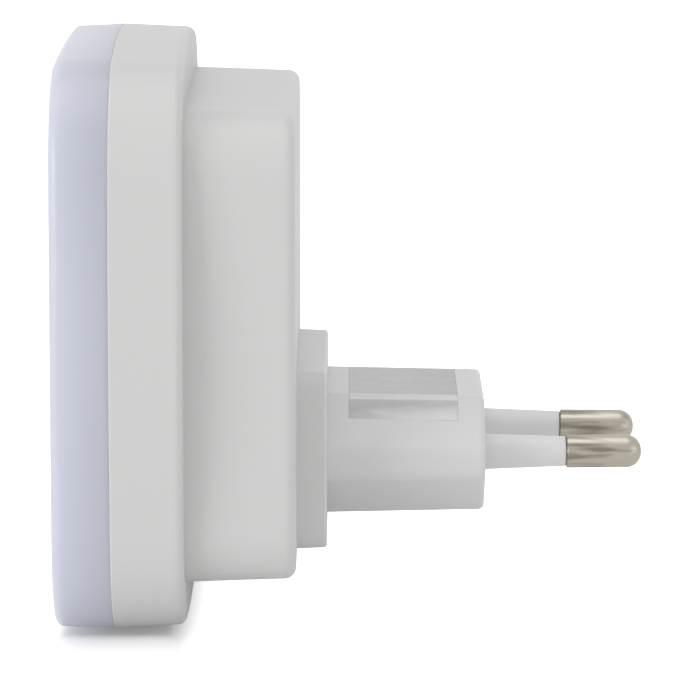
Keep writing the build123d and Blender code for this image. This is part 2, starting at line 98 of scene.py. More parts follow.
def remap(tree, value, low, high, new_low=0.0, new_high=1.0, **settings):
    """A value carried from one range to another and held at the ends."""
    return add_node(
        tree, "ShaderNodeMapRange",
        {"Value": value, "From Min": low, "From Max": high, "To Min": new_low, "To Max": new_high},
        **settings,
    ).outputs[0]


def blend(tree, share, first, second):
    """A mix of two colours, which is the second where the share is 1."""
    inputs = {0: share, 6: first, 7: second}
    return add_node(tree, "ShaderNodeMix", inputs, data_type="RGBA").outputs[2]


def noise(tree, place, scale, detail):
    """Fractal noise over a place, from 0 to 1."""
    inputs = {"Vector": place, "Scale": scale, "Detail": detail}
    return add_node(tree, "ShaderNodeTexNoise", inputs).outputs["Fac"]


def bump(tree, height, distance):
    """The normal of a relief of a given depth."""
    return add_node(tree, "ShaderNodeBump", {"Height": height, "Distance": distance}).outputs[0]


def axes(tree, vector):
    """The X, Y and Z of a vector, by name."""
    return add_node(tree, "ShaderNodeSeparateXYZ", {"Vector": vector}).outputs


def object_place(tree):
    """The place on the object that is shaded."""
    return add_node(tree, "ShaderNodeTexCoord").outputs["Object"]


def feed(target, **sockets):
    """Links sockets to a node's inputs, or to a group's outputs, by name."""
    for label, socket in sockets.items():
        socket.id_data.links.new(socket, target[label.replace("_", " ")])


def add_group(name, inputs, outputs, kind="ShaderNodeTree"):
    """A node group with named sockets, and the sockets inside it."""
    tree = bpy.data.node_groups.new(name, kind)
    for label, socket in inputs:
        tree.interface.new_socket(label, in_out="INPUT", socket_type="NodeSocket" + socket)
    for label, socket in outputs:
        tree.interface.new_socket(label, in_out="OUTPUT", socket_type="NodeSocket" + socket)
    return tree, tree.nodes.new("NodeGroupInput").outputs, tree.nodes.new("NodeGroupOutput").inputs


def moulded_skin_group():
    """Colour, roughness and fine grain of a plastic skin, all a little uneven."""
    tree, given, result = add_group(
        "moulded_skin",
        [("Colour", "Color"), ("Mottle", "Float"), ("Roughness", "Float"), ("Spread", "Float"),
         ("Grain Size", "Float"), ("Grain Depth", "Float")],
        [("Colour", "Color"), ("Roughness", "Float"), ("Normal", "Vector")],
    )
    place = object_place(tree)
    cloud = noise(tree, place, scale=skin_cloud_scale, detail=3.0)
    centred = calc(tree, "SUBTRACT", cloud, 0.5)
    shift = calc(tree, "MULTIPLY_ADD", centred, given["Mottle"], 1.0)
    tinted = add_node(
        tree, "ShaderNodeVectorMath", {0: given["Colour"], "Scale": shift}, operation="SCALE"
    )
    smear = noise(tree, place, scale=skin_smear_scale, detail=4.0)
    uneven = calc(tree, "SUBTRACT", smear, 0.5)
    rough = calc(tree, "MULTIPLY_ADD", uneven, given["Spread"], given["Roughness"])
    pitch = calc(tree, "DIVIDE", 1.0, given["Grain Size"])
    grain = noise(tree, place, scale=pitch, detail=1.0)
    relief = bump(tree, grain, given["Grain Depth"])
    feed(result, Colour=tinted.outputs[0], Roughness=rough, Normal=relief)
    return tree


def plain_material(name, **uniform):
    """A material with one Principled shader, and the values it has all over."""
    material = bpy.data.materials.new(name)
    material.use_nodes = True
    shader = material.node_tree.nodes["Principled BSDF"]
    for label, value in uniform.items():
        shader.inputs[label.replace("_", " ")].default_value = value
    return material, material.node_tree, shader


def plastic(name, colour, mottle, roughness, spread, grain_size, grain_depth, **uniform):
    """A moulded plastic with the shared skin. A colour may come from other nodes later."""
    material, tree, shader = plain_material(name, **uniform)
    skin = add_node(
        tree, "ShaderNodeGroup",
        {"Colour": colour, "Mottle": mottle, "Roughness": roughness, "Spread": spread,
         "Grain Size": grain_size, "Grain Depth": grain_depth},
        node_tree=moulded_skin,
    )
    feed(
        shader.inputs, Base_Color=skin.outputs["Colour"], Roughness=skin.outputs["Roughness"],
        Normal=skin.outputs["Normal"],
    )
    return material, tree, skin


def dress(material, *names):
    """Gives carried-over nodes their finish."""
    for name in names:
        for place in nodes[name].material_slots:
            place.material = material


moulded_skin = moulded_skin_group()
casing_plastic, tree, skin = plastic(
    "satin_white_casing", colour=casing_white, mottle=casing_mottle, roughness=casing_roughness,
    spread=casing_roughness_spread, grain_size=casing_grain_size, grain_depth=casing_grain_depth,
    IOR=1.46,
)
seam_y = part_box("rear_housing")[0].y
place = object_place(tree)
depth = axes(tree, place)["Y"]
# painted highlight: the ring's last 0.16 mm before the seam is painted lighter, where its chamfer
# catches the light
rim = remap(tree, depth, seam_y + casing_rim, seam_y + casing_rim_end)
rim_highlight_tint = blend(tree, rim, casing_rim_highlight, casing_white)
feed(skin.inputs, Colour=rim_highlight_tint)
dress(casing_plastic, "rear_housing")


# ---- Diffuser -------------------------------------------------------------------------
# Opal acrylic cap with a flat front, snapped into the ring. It has a cool tint, and painted
# shade makes it darker towards the seam, where the ring's lap stands behind it. Its rim at
# the seam is painted lighter, a painted highlight.

opal_front = (0.592, 0.604, 0.690, 1.0)
# the seam colour is painted shade, and the rim colour is a painted highlight
opal_seam_shade = (0.490, 0.508, 0.585, 1.0)
opal_rim_highlight = (0.62, 0.62, 0.68, 1.0)
opal_depth = 0.00685
opal_rim_depth = 0.00008

opal_plastic, tree, skin = plastic(
    "opal_cap", colour=opal_front, mottle=0.01, roughness=0.32, spread=0.04, grain_size=0.0006,
    grain_depth=0.000002, IOR=1.49, Subsurface_Weight=0.5, Subsurface_Radius=(0.003, 0.003, 0.0035),
    Subsurface_Scale=1.0,
)
diffuser_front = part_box("diffuser")[0].y
place = object_place(tree)
depth = axes(tree, place)["Y"]
# painted shade: the colour darkens from the front towards the seam
shade_towards_seam = remap(
    tree, depth, diffuser_front, diffuser_front + opal_depth, interpolation_type="SMOOTHSTEP"
)
tint = blend(tree, shade_towards_seam, opal_front, opal_seam_shade)
# painted highlight: the last 0.08 mm of the cap before the seam is painted lighter
at_rim = calc(tree, "GREATER_THAN", depth, seam_y - opal_rim_depth)
tint = blend(tree, at_rim, tint, opal_rim_highlight)
feed(skin.inputs, Colour=tint)
dress(opal_plastic, "diffuser")


# ---- Plug insert ----------------------------------------------------------------------
# Base block and flat plug body, one moulding of a slightly lighter white than the casing's,
# screwed to the casing from inside.

plug_white = (0.650, 0.650, 0.646, 1.0)
plug_roughness = 0.40

plug_plastic, _, _ = plastic(
    "satin_white_plug", colour=plug_white, mottle=casing_mottle, roughness=plug_roughness,
    spread=casing_roughness_spread, grain_size=casing_grain_size, grain_depth=casing_grain_depth,
    IOR=1.46,
)
dress(plug_plastic, "plug_insert")


# ---- Contact pins ---------------------------------------------------------------------
# Two brass pins, turned on a lathe and nickel plated, with a collar that the retainer
# traps. The plating keeps faint rings from the tool and dull streaks where sockets rub it.

nickel = (0.430, 0.395, 0.340, 1.0)
nickel_worn = (0.230, 0.208, 0.172, 1.0)
pin_length = 0.0190
pin_radius = 0.0020
pin_tip_round = 0.00185
pin_bare_start = 0.0099
pin_bare_round = 0.0002
pin_shank_rings = (0.0110, 0.0125, 0.0140, 0.0155)
pin_core_radius = 0.0015
pin_collar_radius = 0.0028
pin_collar_ends = (-0.0039, -0.0027)
pin_tail = -0.0095
pin_cup_radius = 0.0010
pin_cup_floor = -0.0070
pin_bevel = 0.0001
pin_spacing = 0.0186
pin_tip_spacing = 0.0175
pin_toe_in = math.atan((pin_spacing - pin_tip_spacing) / 2 / pin_length)
pin_round = 96
pin_crisp_angle = 0.7
pin_wear_end = 0.0160
pin_wear_fade = 0.0020
pin_upper_side = (-0.0008, 0.0004)
streak_shift = 0.03
ring_scale = (60.0, 9000.0, 60.0)
streak_scale = (1500.0, 110.0, 1500.0)
unthreaded_radius = 0.0007
weld_distance = 0.000001


def arc(centre, radius, start, end, steps):
    """Points on an arc of a profile, by degrees from the radius towards the length."""
    turns = [math.radians(start + (end - start) * i / steps) for i in range(steps + 1)]
    return [(centre[0] + radius * math.cos(t), centre[1] + radius * math.sin(t)) for t in turns]


def vector(tree, **parts):
    """A vector from its X, Y and Z, with 0 for any left out."""
    return add_node(tree, "ShaderNodeCombineXYZ", parts).outputs[0]


def turned_body_group():
    """Turns the incoming line of points (radius, length, 0) about the Y axis."""
    tree, given, result = add_group(
        "turned_body",
        [("Profile", "Geometry"), ("Segments", "Int"), ("Thread Depth", "Float"),
         ("Thread Pitch", "Float"), ("Thread Start", "Float")],
        [("Body", "Geometry")], "GeometryNodeTree",
    )
    size = add_node(tree, "GeometryNodeAttributeDomainSize", {"Geometry": given["Profile"]})
    count = size.outputs["Point Count"]
    columns = calc(tree, "ADD", given["Segments"], 1.0)
    sheet = add_node(tree, "GeometryNodeMeshGrid", {"Vertices X": columns, "Vertices Y": count})
    index = add_node(tree, "GeometryNodeInputIndex").outputs[0]
    row = calc(tree, "MODULO", index, count)
    column = calc(tree, "ADD", index, 0.5)
    column = calc(tree, "DIVIDE", column, count)
    column = calc(tree, "FLOOR", column)
    part = calc(tree, "DIVIDE", column, given["Segments"])
    angle = calc(tree, "MULTIPLY", part, math.tau)
    place = add_node(tree, "GeometryNodeInputPosition").outputs[0]
    point = add_node(
        tree, "GeometryNodeSampleIndex",
        {"Geometry": given["Profile"], "Value": place, "Index": row}, data_type="FLOAT_VECTOR",
    )
    point = axes(tree, point.outputs[0])
    # the thread is a wave along the length that moves on by its pitch at each turn
    along = calc(tree, "DIVIDE", point["Y"], given["Thread Pitch"])
    along = calc(tree, "SUBTRACT", along, part)
    wave = calc(tree, "PINGPONG", along, 0.5)
    cut = calc(tree, "MULTIPLY", wave, 2.0)
    cut = calc(tree, "MULTIPLY", cut, given["Thread Depth"])
    threaded = calc(tree, "GREATER_THAN", point["Y"], given["Thread Start"])
    outer = calc(tree, "GREATER_THAN", point["X"], unthreaded_radius)
    cut = calc(tree, "MULTIPLY", cut, threaded)
    cut = calc(tree, "MULTIPLY", cut, outer)
    radius = calc(tree, "SUBTRACT", point["X"], cut)
    cosine = calc(tree, "COSINE", angle)
    sine = calc(tree, "SINE", angle)
    x = calc(tree, "MULTIPLY", radius, cosine)
    z = calc(tree, "MULTIPLY", radius, sine)
    spot = vector(tree, X=x, Y=point["Y"], Z=z)
    body = add_node(
        tree, "GeometryNodeSetPosition", {"Geometry": sheet.outputs["Mesh"], "Position": spot}
    )
    closed = add_node(
        tree, "GeometryNodeMergeByDistance",
        {"Geometry": body.outputs[0], "Distance": weld_distance},
    )
    feed(result, Body=closed.outputs[0])
    return tree


def finish_nodes(tree, geometry, sharp, material):
    """Smooth faces with sharp edges where the shape turns, and the finish, at a tree's end."""
    whole = add_node(tree, "GeometryNodeRealizeInstances", {"Geometry": geometry})
    smooth = add_node(tree, "GeometryNodeSetShadeSmooth", {"Geometry": whole.outputs[0]})
    bend = add_node(tree, "GeometryNodeInputMeshEdgeAngle")
    crisp = add_node(
        tree, "FunctionNodeCompare", {0: bend.outputs["Unsigned Angle"], 1: sharp},
        data_type="FLOAT", operation="GREATER_THAN",
    )
    edged = add_node(
        tree, "GeometryNodeSetShadeSmooth",
        {"Geometry": smooth.outputs[0], "Selection": crisp.outputs[0], "Shade Smooth": False},
        domain="EDGE",
    )
    dressed = add_node(
        tree, "GeometryNodeSetMaterial", {"Geometry": edged.outputs[0], "Material": material}
    )
    return dressed.outputs[0]


def turned_piece_tree():
    """One turned piece, put on a foot point and turned about the vertical."""
    tree, given, result = add_group(
        "turned_piece",
        [("Profile", "Geometry"), ("Segments", "Int"), ("Foot", "Vector"), ("Turn", "Vector"),
         ("Sharp Angle", "Float"), ("Finish", "Material")],
        [("Piece", "Geometry")], "GeometryNodeTree",
    )
    # without a depth the thread is absent, whatever its pitch
    body = add_node(
        tree, "GeometryNodeGroup",
        {"Profile": given["Profile"], "Segments": given["Segments"], "Thread Pitch": 0.001,
         "Thread Depth": 0.0, "Thread Start": 1.0},
        node_tree=turned_body,
    )
    placed = add_node(
        tree, "GeometryNodeTransform",
        {"Geometry": body.outputs[0], "Translation": given["Foot"], "Rotation": given["Turn"]},
    )
    feed(result, Piece=finish_nodes(tree, placed.outputs[0], given["Sharp Angle"], given["Finish"]))
    return tree


def made_by(tree, name, points, **given):
    """A plain mesh object that a tree makes from a line of points, with named inputs."""
    line = bpy.data.meshes.new(name + "_line")
    steps = [(i, i + 1) for i in range(len(points) - 1)]
    line.from_pydata([(point[0], point[1], 0.0) for point in points], steps, [])
    piece = bpy.data.objects.new(name, line)
    bpy.context.scene.collection.objects.link(piece)
    maker = piece.modifiers.new("maker", "NODES")
    maker.node_group = tree
    sockets = {
        item.name: item.identifier for item in tree.interface.items_tree
        if item.item_type == "SOCKET" and item.in_out == "INPUT"
    }
    for label, value in given.items():
        maker[sockets[label.replace("_", " ")]] = value
    depsgraph = bpy.context.evaluated_depsgraph_get()
    finished = bpy.data.meshes.new_from_object(piece.evaluated_get(depsgraph))
    piece.modifiers.remove(maker)
    piece.data = finished
    bpy.data.meshes.remove(line)
    finished.name = name
    return piece


def stand_for(piece, slot, *names):
    """Rides a finished piece on the object in the place of its CAD nodes."""
    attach(piece, "root")
    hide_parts(*names)


turned_body = turned_body_group()
turned_piece = turned_piece_tree()

pin_metal, tree, shader = plain_material("nickel_plating", Metallic=1.0)
place = object_place(tree)
ring_map = add_node(tree, "ShaderNodeMapping", {"Vector": place, "Scale": ring_scale})
rings = noise(tree, ring_map.outputs[0], scale=1.0, detail=2.0)
streak_map = add_node(tree, "ShaderNodeMapping", {"Vector": place, "Scale": streak_scale})
streaks = noise(tree, streak_map.outputs[0], scale=1.0, detail=5.0)
spot = axes(tree, place)
# the round tip and the underside have fewer streaks
rubbed = remap(
    tree, spot["Y"], pin_wear_end, pin_wear_end - pin_wear_fade, -0.10, streak_shift
)
upper = remap(tree, spot["Z"], *pin_upper_side, -0.05, streak_shift)
streak = calc(tree, "ADD", streaks, rubbed)
streak = calc(tree, "ADD", streak, upper)
streak_share = remap(tree, streak, 0.46, 0.66)
plated = blend(tree, streak_share, nickel, nickel_worn)
dull = remap(tree, streaks, 0.3, 0.75, 0.26, 0.42)
tool_marks = bump(tree, rings, distance=0.000003)
feed(shader.inputs, Base_Color=plated, Roughness=dull, Normal=tool_marks)

# the tail with its solder cup, the collar, the thin core in the sleeve, and the bare end
collar_low, collar_high = pin_collar_ends
shoulder = pin_radius - pin_bare_round
pin_profile = (
    [(0.0, pin_cup_floor), (pin_cup_radius, pin_cup_floor), (pin_cup_radius, pin_tail + pin_bevel),
     (pin_cup_radius + pin_bevel, pin_tail), (pin_core_radius - pin_bevel, pin_tail),
     (pin_core_radius, pin_tail + pin_bevel), (pin_core_radius, collar_low),
     (pin_collar_radius - pin_bevel, collar_low), (pin_collar_radius, collar_low + pin_bevel),
     (pin_collar_radius, collar_high - pin_bevel), (pin_collar_radius - pin_bevel, collar_high),
     (pin_core_radius, collar_high), (pin_core_radius, pin_bare_start), (shoulder, pin_bare_start)]
    + arc((shoulder, pin_bare_start + pin_bare_round), pin_bare_round, -90, 0, 6)[1:]
    + [(pin_radius, y) for y in pin_shank_rings]
    + arc((pin_radius - pin_tip_round, pin_length - pin_tip_round), pin_tip_round, 0, 90, 24)
    + [(0.0, pin_length)]
)
# the profile is handed on from its last point to its first, so that faces point outwards
for name, side in (("live_pin", 1), ("neutral_pin", -1)):
    pin = made_by(
        turned_piece, name + "_turned", pin_profile[::-1], Segments=pin_round,
        Foot=(side * pin_spacing / 2, 0.0, 0.0), Turn=(0.0, 0.0, side * pin_toe_in),
        Sharp_Angle=pin_crisp_angle, Finish=pin_metal,
    )
    stand_for(pin, "pin_metal", name)


# ---- Pin sleeves ----------------------------------------------------------------------
# Insulating sleeves moulded round the root half of the pins, in a greyer natural nylon
# that lets a little light in. Their outer end has a soft rounded edge.

sleeve_grey = (0.71, 0.70, 0.70, 1.0)
sleeve_root_radius = 0.00215
sleeve_taper = 0.035
sleeve_end_radius = 0.0018
sleeve_end_round = 0.00026

sleeve_plastic, _, _ = plastic(
    "sleeve_nylon", colour=sleeve_grey, mottle=0.03, roughness=0.36, spread=0.06,
    grain_size=0.0004, grain_depth=0.000004, IOR=1.5, Subsurface_Weight=0.2,
    Subsurface_Radius=(0.001, 0.001, 0.001), Subsurface_Scale=1.0,
)
sleeve_profile = (
    [(pin_core_radius, collar_high), (sleeve_root_radius, collar_high)]
    + [(sleeve_root_radius - sleeve_taper * y, y) for y in (0.0, 0.0022, 0.0044, 0.0066)]
    + arc(
        (sleeve_end_radius - sleeve_end_round, pin_bare_start - sleeve_end_round),
        sleeve_end_round, 4, 90, 8,
    )
    + [(pin_core_radius, y) for y in (pin_bare_start, 0.0060, 0.0015, collar_high)]
)
# handed on from the last point to the first too
for name, side in (("live_sleeve", 1), ("neutral_sleeve", -1)):
    sleeve = made_by(
        turned_piece, name + "_turned", sleeve_profile[::-1], Segments=pin_round,
        Foot=(side * pin_spacing / 2, 0.0, 0.0), Turn=(0.0, 0.0, side * pin_toe_in),
        Sharp_Angle=pin_crisp_angle, Finish=sleeve_plastic,
    )
    stand_for(sleeve, "sleeve_plastic", name)


# ---- Rating label ---------------------------------------------------------------------
# Thin clear film stuck over the top of the plug and down one shoulder. It is bare, and
# its cut edges show as fine grey lines.

film_edge = 0.00013
film_edge_fade = 0.6
film_edge_grey = (0.28, 0.28, 0.28, 1.0)
film_edge_alpha = 0.24
film_grey = (0.95, 0.95, 0.95, 1.0)
film_alpha = (0.10, 0.14)

label_film, tree, shader = plain_material("clear_film", IOR=1.5)
label_low, label_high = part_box("rating_label")
place = object_place(tree)
across = axes(tree, place)
from_front = calc(tree, "SUBTRACT", across["Y"], label_low.y)
from_rear = calc(tree, "SUBTRACT", label_high.y, across["Y"])
from_foot = calc(tree, "SUBTRACT", across["Z"], label_low.z)
from_far = calc(tree, "SUBTRACT", across["X"], label_low.x)
nearest = calc(tree, "MINIMUM", from_front, from_rear)
nearest = calc(tree, "MINIMUM", nearest, from_foot)
nearest = calc(tree, "MINIMUM", nearest, from_far)
inside = remap(tree, nearest, film_edge * film_edge_fade, film_edge)
haze = noise(tree, place, scale=400.0, detail=4.0)
body_alpha = remap(tree, haze, 0.0, 1.0, *film_alpha)
alpha = add_node(
    tree, "ShaderNodeMix", {0: inside, 2: film_edge_alpha, 3: body_alpha}, data_type="FLOAT"
)
# the film's glued side lies on the plug, so only its outer side shows
glued = add_node(tree, "ShaderNodeNewGeometry").outputs["Backfacing"]
outer = calc(tree, "SUBTRACT", 1.0, glued)
alpha = calc(tree, "MULTIPLY", alpha.outputs[0], outer)
grey = blend(tree, inside, film_edge_grey, film_grey)
gloss = remap(tree, haze, 0.0, 1.0, 0.22, 0.34)
ripple = noise(tree, place, scale=160.0, detail=1.0)
wrinkle = bump(tree, ripple, distance=0.0000012)
feed(shader.inputs, Base_Color=grey, Alpha=alpha, Roughness=gloss, Normal=wrinkle)
dress(label_film, "rating_label")


# ---- Supply wires ---------------------------------------------------------------------
# Brown and blue stranded copper leads in soft extruded PVC, soldered into the pins' cups at
# one end and to the board at the other.

live_brown = (0.150, 0.055, 0.022, 1.0)
neutral_blue = (0.020, 0.095, 0.380, 1.0)

for name, colour in (("live_wire", live_brown), ("neutral_wire", neutral_blue)):
    wire_pvc, _, _ = plastic(
        name + "_pvc", colour=colour, mottle=0.08, roughness=0.42, spread=0.10, grain_size=0.0003,
        grain_depth=0.000004, IOR=1.52, Coat_Weight=0.1,
    )
    dress(wire_pvc, name)


# ---- Pin retainer ---------------------------------------------------------------------
# Moulded plate of natural nylon that presses the pin collars into their seats. One screw
# holds it.

retainer_plastic, _, _ = plastic(
    "natural_nylon", colour=(0.60, 0.59, 0.54, 1.0), mottle=0.05, roughness=0.46, spread=0.08,
    grain_size=0.0004, grain_depth=0.000006, IOR=1.53, Subsurface_Weight=0.15,
    Subsurface_Radius=(0.001, 0.001, 0.001), Subsurface_Scale=1.0,
)
dress(retainer_plastic, "pin_retainer")


# ---- Screws ---------------------------------------------------------------------------
# Nine zinc-plated thread-forming screws with pan heads and cross recesses: one holds the
# retainer, four the plug insert and four the light board.

screw_radius = 0.0011
screw_head_radius = 0.0021
screw_head_depth = 0.0015
screw_head_round = 0.00075
screw_recess_width = 0.0006
screw_tip_length = 0.00005
screw_tip_step = 0.0002
screw_round = 32
thread_pitch = 0.0008
thread_depth = 0.00022
thread_start = 0.0004
thread_steps = 60
screw_crisp_angle = 0.6
zinc_bright = (0.62, 0.63, 0.62, 1.0)
zinc_dull = (0.50, 0.50, 0.46, 1.0)

screw_steel, tree, shader = plain_material("zinc_plating", Metallic=1.0)
place = object_place(tree)
spangle = noise(tree, place, scale=1800.0, detail=4.0)
zinc = blend(tree, spangle, zinc_bright, zinc_dull)
dull = remap(tree, spangle, 0.0, 1.0, 0.24, 0.46)
feed(shader.inputs, Base_Color=zinc, Roughness=dull)


def screw_set_tree():
    """Screws on a grid of places, each turned, threaded and given its cross recess."""
    tree, given, result = add_group(
        "screw_set",
        [("Profile", "Geometry"), ("Segments", "Int"), ("Thread Depth", "Float"),
         ("Thread Pitch", "Float"), ("Thread Start", "Float"), ("Head Depth", "Float"),
         ("Recess Length", "Float"), ("Recess Width", "Float"), ("Count", "Int"),
         ("Pitch X", "Float"), ("Pitch Z", "Float"), ("Centre", "Vector"), ("Finish", "Material")],
        [("Screws", "Geometry")], "GeometryNodeTree",
    )
    turned = ("Profile", "Segments", "Thread Depth", "Thread Pitch", "Thread Start")
    body = add_node(
        tree, "GeometryNodeGroup", {label: given[label] for label in turned}, node_tree=turned_body
    )
    # two crossed blades cut the recess into the head's top
    top = calc(tree, "MULTIPLY", given["Head Depth"], -1.0)
    seat = vector(tree, Y=top)
    blades = []
    for long, wide in (("X", "Z"), ("Z", "X")):
        sides = {long: given["Recess Length"], wide: given["Recess Width"]}
        size = vector(tree, Y=given["Head Depth"], **sides)
        blade = add_node(tree, "GeometryNodeMeshCube", {"Size": size})
        moved = add_node(
            tree, "GeometryNodeTransform", {"Geometry": blade.outputs["Mesh"], "Translation": seat}
        )
        blades.append(moved.outputs[0])
    cut = add_node(
        tree, "GeometryNodeMeshBoolean", {"Mesh 1": body.outputs[0], "Mesh 2": blades},
        operation="DIFFERENCE", solver="EXACT",
    )
    grid = add_node(
        tree, "GeometryNodeMeshGrid",
        {"Size X": given["Pitch X"], "Size Y": given["Pitch Z"], "Vertices X": given["Count"],
         "Vertices Y": given["Count"]},
    )
    spots = add_node(
        tree, "GeometryNodeTransform",
        {"Geometry": grid.outputs["Mesh"], "Translation": given["Centre"],
         "Rotation": (math.radians(90), 0.0, 0.0)},
    )
    placed = add_node(
        tree, "GeometryNodeInstanceOnPoints",
        {"Points": spots.outputs[0], "Instance": cut.outputs["Mesh"]},
    )
    finished = finish_nodes(tree, placed.outputs[0], screw_crisp_angle, given["Finish"])
    feed(result, Screws=finished)
    return tree


screw_set = screw_set_tree()
for name, count in (("retainer_screw", 1), ("insert_screws", 2), ("board_screws", 2)):
    low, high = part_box(name)
    reach = high.y - low.y - screw_head_depth
    crown = screw_head_radius - screw_head_round
    screw_profile = (
        [(0.0, -screw_head_depth), (crown, -screw_head_depth)]
        + arc((crown, -screw_head_depth + screw_head_round), screw_head_round, -90, 0, 8)[1:]
        + [(screw_head_radius, 0.0)]
        + [(screw_radius, reach * i / thread_steps) for i in range(thread_steps)]
        + [(screw_radius - screw_tip_step, reach - screw_tip_length),
           (screw_radius - 2 * screw_tip_step, reach), (0.0, reach)]
    )
    screws = made_by(
        screw_set, name + "_threaded", screw_profile, Segments=screw_round,
        Thread_Depth=thread_depth, Thread_Pitch=thread_pitch, Thread_Start=thread_start,
        Head_Depth=screw_head_depth, Recess_Length=screw_head_radius,
        Recess_Width=screw_recess_width, Count=count,
        Pitch_X=high.x - low.x - 2 * screw_head_radius,
        Pitch_Z=high.z - low.z - 2 * screw_head_radius,
        Centre=((low.x + high.x) / 2, low.y + screw_head_depth, (low.z + high.z) / 2),
        Finish=screw_steel,
    )
    stand_for(screws, "screw_steel", name)


# ---- Light board ----------------------------------------------------------------------
# Glass-fibre board with white solder resist on both faces and the bare laminate at its
# milled edge and in its holes.

ply_scale = 1500.0
weave_scale = 400.0
laminate_dark = (0.30, 0.27, 0.13, 1.0)
laminate_light = (0.46, 0.42, 0.24, 1.0)
resist_dark = (0.72, 0.73, 0.69, 1.0)
resist_light = (0.77, 0.78, 0.74, 1.0)

board_laminate, tree, shader = plain_material(
    "white_resist", IOR=1.5, Coat_Weight=0.2, Coat_Roughness=0.2
)
place = object_place(tree)
facing = axes(tree, add_node(tree, "ShaderNodeNewGeometry").outputs["Normal"])
# 1 on the two faces, 0 on the edge and in the holes
flat = calc(tree, "ABSOLUTE", facing["Y"])
face = calc(tree, "GREATER_THAN", flat, 0.7)
plies = add_node(
    tree, "ShaderNodeTexWave", {"Vector": place, "Scale": ply_scale, "Distortion": 1.5},
    bands_direction="Y",
)
laminate = blend(tree, plies.outputs["Fac"], laminate_dark, laminate_light)
resist_cloud = noise(tree, place, scale=300.0, detail=3.0)
resist = blend(tree, resist_cloud, resist_dark, resist_light)
surface = blend(tree, face, laminate, resist)
gloss = remap(tree, face, 0.0, 1.0, 0.8, 0.35)
threads = [
    add_node(
        tree, "ShaderNodeTexWave", {"Vector": place, "Scale": weave_scale}, bands_direction=label
    ).outputs["Fac"]
    for label in ("X", "Z")
]
weave = calc(tree, "MAXIMUM", *threads)
print_through = bump(tree, weave, distance=0.000004)
feed(shader.inputs, Base_Color=surface, Roughness=gloss, Normal=print_through)
dress(board_laminate, "light_board")


# ---- Light-emitting diodes ------------------------------------------------------------
# Nine surface-mounted packages soldered to the board: a white moulded frame with a cup of
# yellow phosphor gel, a little sunk, over the chip.

led_size = (0.0035, 0.0028, 0.0008)
led_rim = 0.0004
led_cup_depth = 0.0002
led_dome = 0.00006
led_count = 3

led_frame, _, _ = plastic(
    "led_frame", colour=(0.74, 0.74, 0.72, 1.0), mottle=0.02, roughness=0.38, spread=0.05,
    grain_size=0.0002, grain_depth=0.000003, IOR=1.52,
)
phosphor, _, _ = plastic(
    "phosphor_gel", colour=(0.80, 0.56, 0.075, 1.0), mottle=0.12, roughness=0.18, spread=0.05,
    grain_size=0.0001, grain_depth=0.000003, IOR=1.41, Subsurface_Weight=0.3,
    Subsurface_Radius=(0.0004, 0.0003, 0.0001), Subsurface_Scale=1.0,
)


